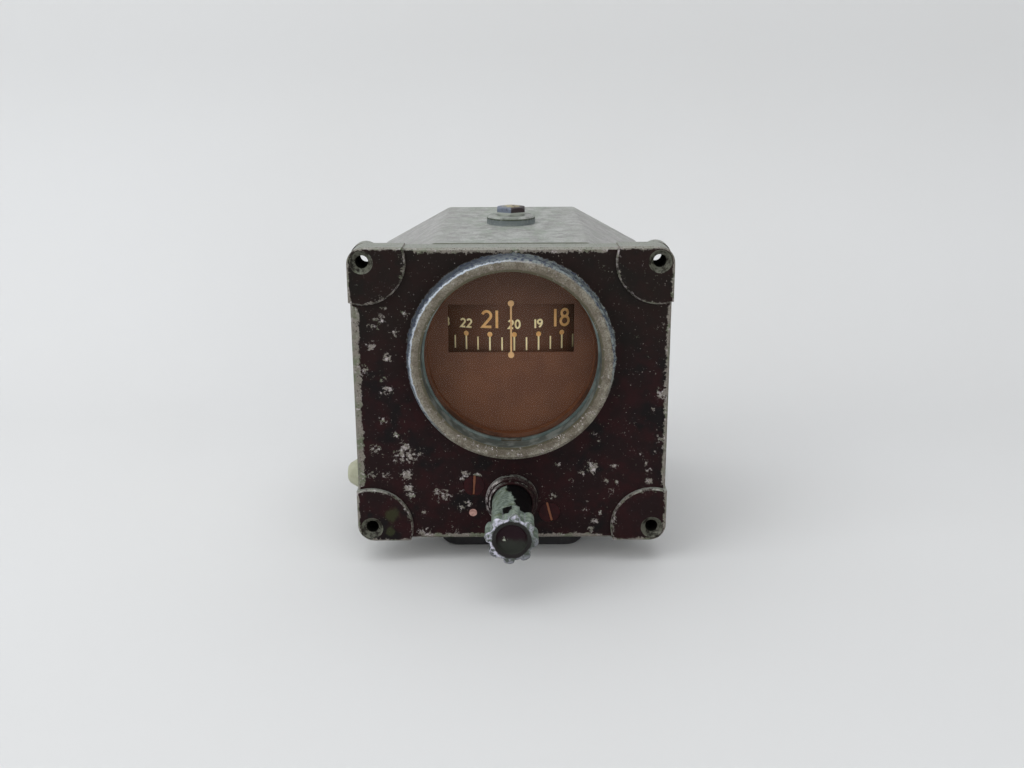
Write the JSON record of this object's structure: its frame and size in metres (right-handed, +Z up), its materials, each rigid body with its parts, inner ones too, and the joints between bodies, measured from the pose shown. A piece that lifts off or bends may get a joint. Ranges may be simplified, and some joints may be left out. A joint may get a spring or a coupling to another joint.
{
  "type": "directional gyro",
  "caption": "Panel-mounted air-driven directional gyro: square face with a round window on a drum card, lobed caging knob, eight-sided case and gimballed rotor inside.",
  "frame": {"origin": "centre of the four panel mounting holes, in the plane of the seats at the back of the mounting lugs", "axes": "+X to the right as seen from the front, +Y into the case away from the face, +Z up"},
  "size_m": [0.1424, 0.1795, 0.1468],
  "materials": {
    "frame_paint": "black paint worn to grey cast metal at edges and chips",
    "case_metal": "weathered sand-cast aluminium, greenish grey",
    "glass": "clear flat glass",
    "spring_steel": "bright spring wire",
    "gasket_rubber": "black rubber sheet",
    "mask_paint": "matt dark brown paint",
    "lubber_paint": "pale tan paint",
    "card_paint": "matt dark brown with pale graduations",
    "steel": "ground steel",
    "dark_screw": "dark red-brown lacquered brass",
    "brass": "turned brass",
    "pin_copper": "dull pinkish copper plate",
    "plug_metal": "dark grey and brown, brassy where worn",
    "cap_plastic": "pale cream-green moulding",
    "cover_paint": "satin black paint",
    "filter_felt": "felt air filter",
    "ring_metal": "machined aluminium",
    "rotor_metal": "machined brass wheel",
    "knob_paint": "black paint worn to grey-green metal"
  },
  "bodies": {
    "case": {"front_frame": "frame_paint", "window_glass": "glass", "glass_gasket": "gasket_rubber", "glass_retaining_ring": "spring_steel", "mask_plate": "mask_paint", "mask_screws": "steel", "lubber_line": "lubber_paint", "frame_gasket": "gasket_rubber", "case_body": "case_metal", "frame_screws": "steel", "rear_cover": "case_metal", "rear_cover_gasket": "gasket_rubber", "rear_cover_screws": "steel", "upper_bearing_bush": "brass", "top_plug_washer": "plug_metal", "top_plug": "plug_metal", "side_port_cap": "cap_plastic", "bottom_cover": "cover_paint", "bottom_cover_gasket": "gasket_rubber", "bottom_cover_screws": "steel", "air_filter": "filter_felt", "caging_bracket": "steel", "knob_bushing": "brass", "caging_screws": "dark_screw", "locating_pin": "pin_copper", "yoke_guide_rod": "steel", "upper_outer_race": "steel", "lower_outer_race": "steel"},
    "azimuth_gimbal": {"vertical_ring": "ring_metal", "heading_card": "card_paint", "card_spider": "ring_metal", "card_screws": "steel", "sync_gear": "brass", "upper_pivot": "steel", "lower_pivot": "steel", "upper_inner_race": "steel", "lower_inner_race": "steel", "air_nozzle": "brass", "tilt_outer_races": "steel"},
    "rotor_gimbal": {"rotor_ring": "ring_metal", "tilt_pivots": "steel", "tilt_inner_races": "steel", "rotor_outer_races": "steel", "rotor_bearing_caps": "ring_metal", "balance_nuts": "brass"},
    "rotor": {"rotor_wheel": "rotor_metal", "rotor_shaft": "steel", "rotor_inner_races": "steel"},
    "yoke": {"shift_yoke": "brass"},
    "knob": {"caging_knob": "knob_paint", "knob_set_screw": "steel", "knob_shaft": "steel", "shaft_collars": "brass", "sync_pinion": "brass"}
  },
  "joints": [
    {"name": "card_turn", "type": "hinge", "parent": "case", "child": "azimuth_gimbal", "pos_m": [0, 0.054, -0.0045], "axis": [0, 0, 1], "continuous": true},
    {"name": "gimbal_tilt", "type": "hinge", "parent": "azimuth_gimbal", "child": "rotor_gimbal", "pos_m": [0, 0.054, -0.0045], "axis": [1, 0, 0], "range_deg": [-55, 55]},
    {"name": "rotor_spin", "type": "hinge", "parent": "rotor_gimbal", "child": "rotor", "pos_m": [0, 0.054, -0.0045], "axis": [0, 1, 0], "continuous": true},
    {"name": "knob_pull", "type": "slide", "parent": "case", "child": "yoke", "axis": [0, -1, 0], "range_m": [0, 0.007]},
    {"name": "knob_turn", "type": "hinge", "parent": "yoke", "child": "knob", "pos_m": [0, 0, -0.0455], "axis": [0, 1, 0], "continuous": true}
  ],
  "couplings": [
    {"joint": "knob_turn", "follows": "card_turn", "ratio": -6.6667}
  ]
}
